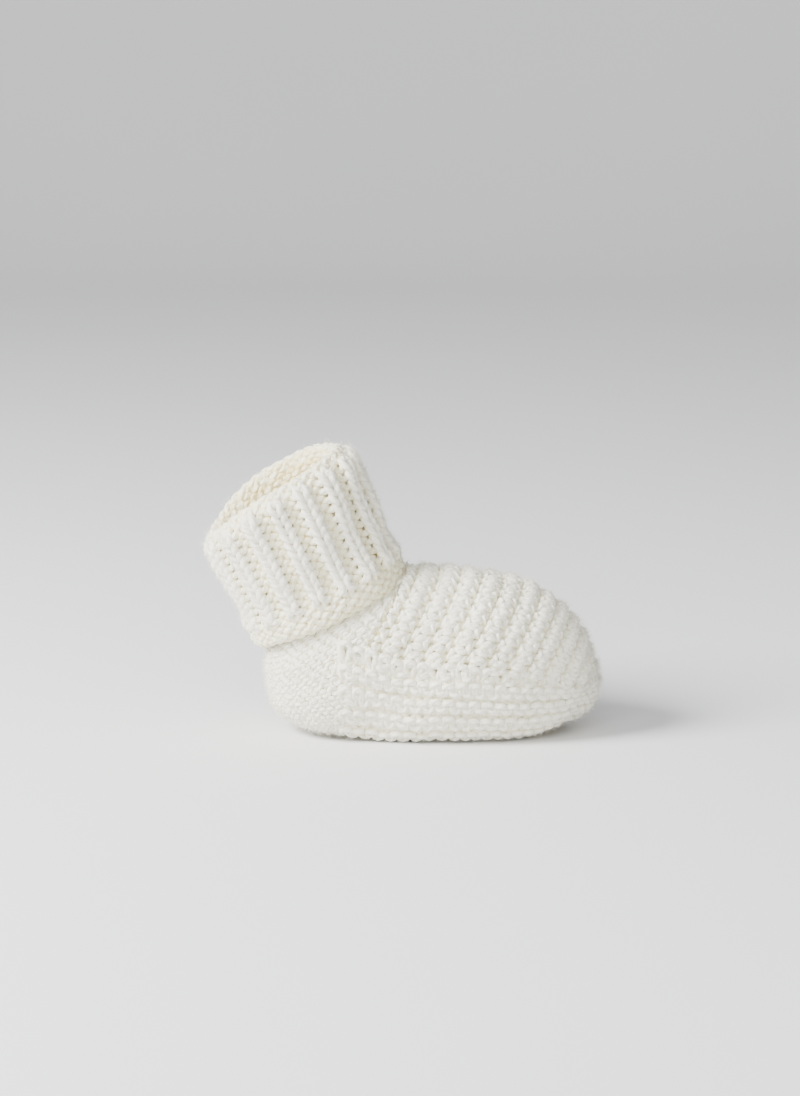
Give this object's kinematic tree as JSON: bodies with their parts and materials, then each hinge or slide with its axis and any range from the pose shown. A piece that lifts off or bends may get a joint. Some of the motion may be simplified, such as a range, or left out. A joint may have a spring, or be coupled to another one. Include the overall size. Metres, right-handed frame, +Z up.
{
  "type": "baby bootie",
  "caption": "Hand-knitted baby bootie: garter-stitch foot, plain heel and a ribbed leg with its cuff turned down.",
  "frame": {"origin": "on the floor under the middle of the overall length and width", "axes": "+Z up, +X towards the toe, the leg leans back towards -X"},
  "size_m": [0.1211, 0.054, 0.0836],
  "materials": {
    "garter_wool": "cream-white wool, garter stitch, matt and fuzzy",
    "plain_wool": "cream-white wool, reverse stockinette, matt and fuzzy",
    "rib_wool": "cream-white wool, ribbing, matt and fuzzy",
    "edge_wool": "cream-white wool, cast-off edges and seams"
  },
  "bodies": {
    "foot": {"heel_cup": "plain_wool", "heel_seam": "edge_wool", "instep_panel": "garter_wool", "pick_up_row": "edge_wool", "side_band": "garter_wool", "sole_left": "garter_wool", "sole_right": "garter_wool", "sole_seam": "edge_wool", "toe_gather": "garter_wool"},
    "leg": {"ankle_band": "plain_wool", "rib_leg": "rib_wool", "leg_seam": "edge_wool"},
    "cuff": {"cuff_turndown": "rib_wool", "cuff_fold": "rib_wool", "cast_off_edge": "edge_wool", "cuff_seam": "edge_wool"}
  },
  "joints": [
    {"name": "ankle_flex", "type": "hinge", "parent": "foot", "child": "leg", "pos_m": [-0.009, 0, 0.046], "axis": [0, 1, 0], "range_deg": [0, 30]},
    {"name": "cuff_unfold", "type": "slide", "parent": "leg", "child": "cuff", "axis": [-0.4226, 0, 0.9063], "range_m": [0, 0.026]}
  ]
}
